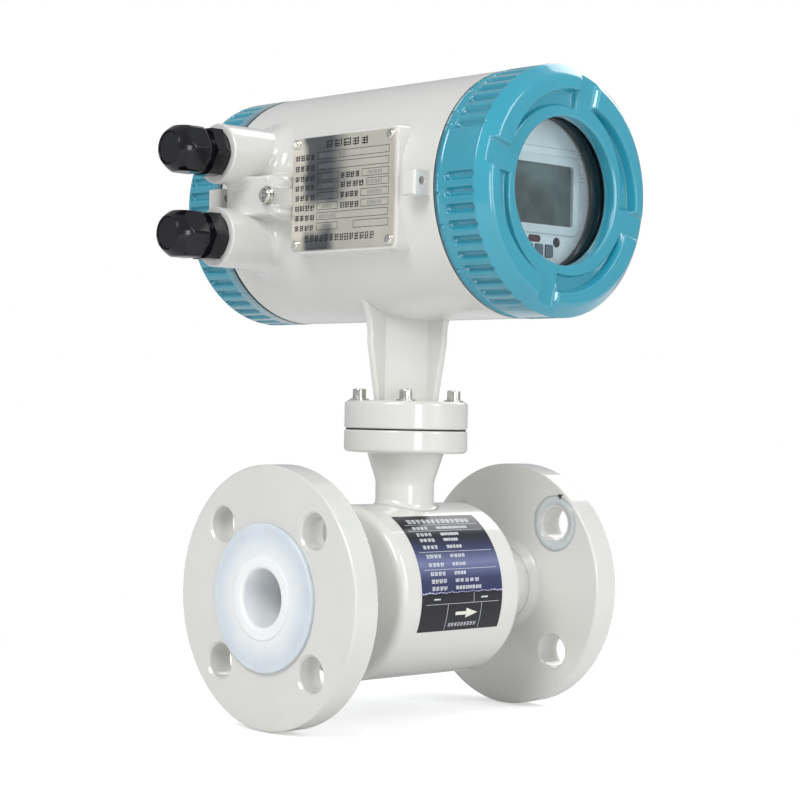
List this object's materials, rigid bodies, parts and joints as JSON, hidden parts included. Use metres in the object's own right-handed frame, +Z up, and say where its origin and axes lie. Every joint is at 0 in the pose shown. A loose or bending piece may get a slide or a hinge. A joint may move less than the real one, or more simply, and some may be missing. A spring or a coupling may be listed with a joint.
{
  "type": "electromagnetic flow meter",
  "caption": "Flanged electromagnetic flow meter: PTFE-lined measuring tube with field coils, and a windowed two-cover converter with cable glands on a bolted neck.",
  "frame": {"origin": "centre of the flow bore, halfway between the two liner faces", "axes": "+X along the bore in the flow direction, +Z up the neck to the converter, -Y towards the display side"},
  "size_m": [0.223, 0.232, 0.3387],
  "materials": {
    "white_enamel_steel": "gloss off-white enamel on steel",
    "white_enamel_casting": "gloss off-white enamel on cast aluminium",
    "teal_enamel_casting": "gloss teal enamel on cast aluminium",
    "stainless": "satin stainless steel",
    "bright_steel": "zinc-plated or stainless fasteners",
    "electrical_steel": "lacquered magnetic steel",
    "copper_winding": "enamelled copper wire, taped",
    "ptfe": "translucent white PTFE",
    "black_rubber": "matt black rubber",
    "black_nylon": "moulded black nylon",
    "label_film": "gloss navy film",
    "glass": "toughened glass",
    "silver_panel": "brushed silver",
    "bezel_plastic": "pale grey plastic",
    "lcd": "dark grey-green screen",
    "red_lens": "dark red lens",
    "dark_lens": "dark lens",
    "key_plastic": "blue-grey plastic",
    "board": "green circuit board",
    "grey_plastic": "grey moulded plastic",
    "green_plastic": "green terminal plastic",
    "grey_cable": "dark grey sheath"
  },
  "bodies": {
    "meter_body": {"base_screws": "bright_steel", "board_posts": "bright_steel", "capacitors": "dark_lens", "coil_housing": "white_enamel_steel", "converter_housing": "white_enamel_casting", "display_board": "board", "display_panel": "silver_panel", "earth_screw": "bright_steel", "earth_washer": "bright_steel", "electrode_bushes": "ptfe", "electrode_nuts": "stainless", "electrodes": "stainless", "feed_block": "grey_plastic", "field_coils": "copper_winding", "gland_bodies": "black_nylon", "gland_seals": "black_rubber", "gland_washers": "black_rubber", "infrared_eye": "dark_lens", "inlet_flange": "white_enamel_steel", "lcd_bezel": "bezel_plastic", "lcd_module": "lcd", "lead_plug": "grey_plastic", "magnetic_yoke": "electrical_steel", "main_board": "board", "measuring_tube": "white_enamel_steel", "nameplate": "stainless", "nameplate_screws": "bright_steel", "neck_bung": "black_rubber", "neck_gasket": "black_rubber", "neck_screws": "bright_steel", "neck_spring_washers": "bright_steel", "neck_washers": "bright_steel", "outlet_flange": "white_enamel_steel", "pole_shoes": "electrical_steel", "power_board": "board", "ptfe_liner": "ptfe", "sensor_cable": "grey_cable", "sensor_label": "label_film", "sensor_neck": "white_enamel_steel", "status_lamp": "red_lens", "terminal_base": "grey_plastic", "terminal_block": "green_plastic", "terminal_screws": "bright_steel", "transformer": "electrical_steel"},
    "front_cover_seal": {"front_o_ring": "black_rubber"},
    "front_cover": {"front_cover": "teal_enamel_casting", "window_glass": "glass", "window_gasket": "black_rubber", "window_retaining_ring": "electrical_steel"},
    "rear_cover_seal": {"rear_o_ring": "black_rubber"},
    "rear_cover": {"rear_cover": "teal_enamel_casting"},
    "upper_gland_plug": {"upper_gland_plug": "black_nylon"},
    "upper_gland_nut": {"upper_gland_nut": "black_nylon"},
    "lower_gland_plug": {"lower_gland_plug": "black_nylon"},
    "lower_gland_nut": {"lower_gland_nut": "black_nylon"},
    "key_1": {"key_1": "key_plastic"},
    "key_2": {"key_2": "key_plastic"},
    "key_3": {"key_3": "key_plastic"},
    "key_4": {"key_4": "key_plastic"}
  },
  "joints": [
    {"name": "front_cover_travel", "type": "slide", "parent": "meter_body", "child": "front_cover_seal", "axis": [0, -1, 0], "range_m": [0, 0.012]},
    {"name": "front_cover_turn", "type": "hinge", "parent": "front_cover_seal", "child": "front_cover", "pos_m": [0, -0.0807, 0.2076], "axis": [0, -1, 0], "range_deg": [0, 2160]},
    {"name": "rear_cover_travel", "type": "slide", "parent": "meter_body", "child": "rear_cover_seal", "axis": [0, 1, 0], "range_m": [0, 0.012]},
    {"name": "rear_cover_turn", "type": "hinge", "parent": "rear_cover_seal", "child": "rear_cover", "pos_m": [0, 0.0837, 0.2076], "axis": [0, 1, 0], "range_deg": [0, 2160]},
    {"name": "upper_gland_nut_travel", "type": "slide", "parent": "meter_body", "child": "upper_gland_plug", "axis": [-1, 0, 0], "range_m": [0, 0.0075]},
    {"name": "upper_gland_nut_turn", "type": "hinge", "parent": "upper_gland_plug", "child": "upper_gland_nut", "pos_m": [-0.105, 0.053, 0.2296], "axis": [-1, 0, 0], "range_deg": [0, 1800]},
    {"name": "lower_gland_nut_travel", "type": "slide", "parent": "meter_body", "child": "lower_gland_plug", "axis": [-1, 0, 0], "range_m": [0, 0.0075]},
    {"name": "lower_gland_nut_turn", "type": "hinge", "parent": "lower_gland_plug", "child": "lower_gland_nut", "pos_m": [-0.105, 0.053, 0.1856], "axis": [-1, 0, 0], "range_deg": [0, 1800]},
    {"name": "key_1_press", "type": "slide", "parent": "meter_body", "child": "key_1", "axis": [0, 1, 0], "range_m": [0, 0.0006], "stiffness_N_per_m": 800},
    {"name": "key_2_press", "type": "slide", "parent": "meter_body", "child": "key_2", "axis": [0, 1, 0], "range_m": [0, 0.0006], "stiffness_N_per_m": 800},
    {"name": "key_3_press", "type": "slide", "parent": "meter_body", "child": "key_3", "axis": [0, 1, 0], "range_m": [0, 0.0006], "stiffness_N_per_m": 800},
    {"name": "key_4_press", "type": "slide", "parent": "meter_body", "child": "key_4", "axis": [0, 1, 0], "range_m": [0, 0.0006], "stiffness_N_per_m": 800}
  ],
  "couplings": [
    {"joint": "front_cover_travel", "follows": "front_cover_turn", "m_per_rad": 0.00031831},
    {"joint": "rear_cover_travel", "follows": "rear_cover_turn", "m_per_rad": 0.00031831},
    {"joint": "upper_gland_nut_travel", "follows": "upper_gland_nut_turn", "m_per_rad": 0.00023873},
    {"joint": "lower_gland_nut_travel", "follows": "lower_gland_nut_turn", "m_per_rad": 0.00023873}
  ]
}
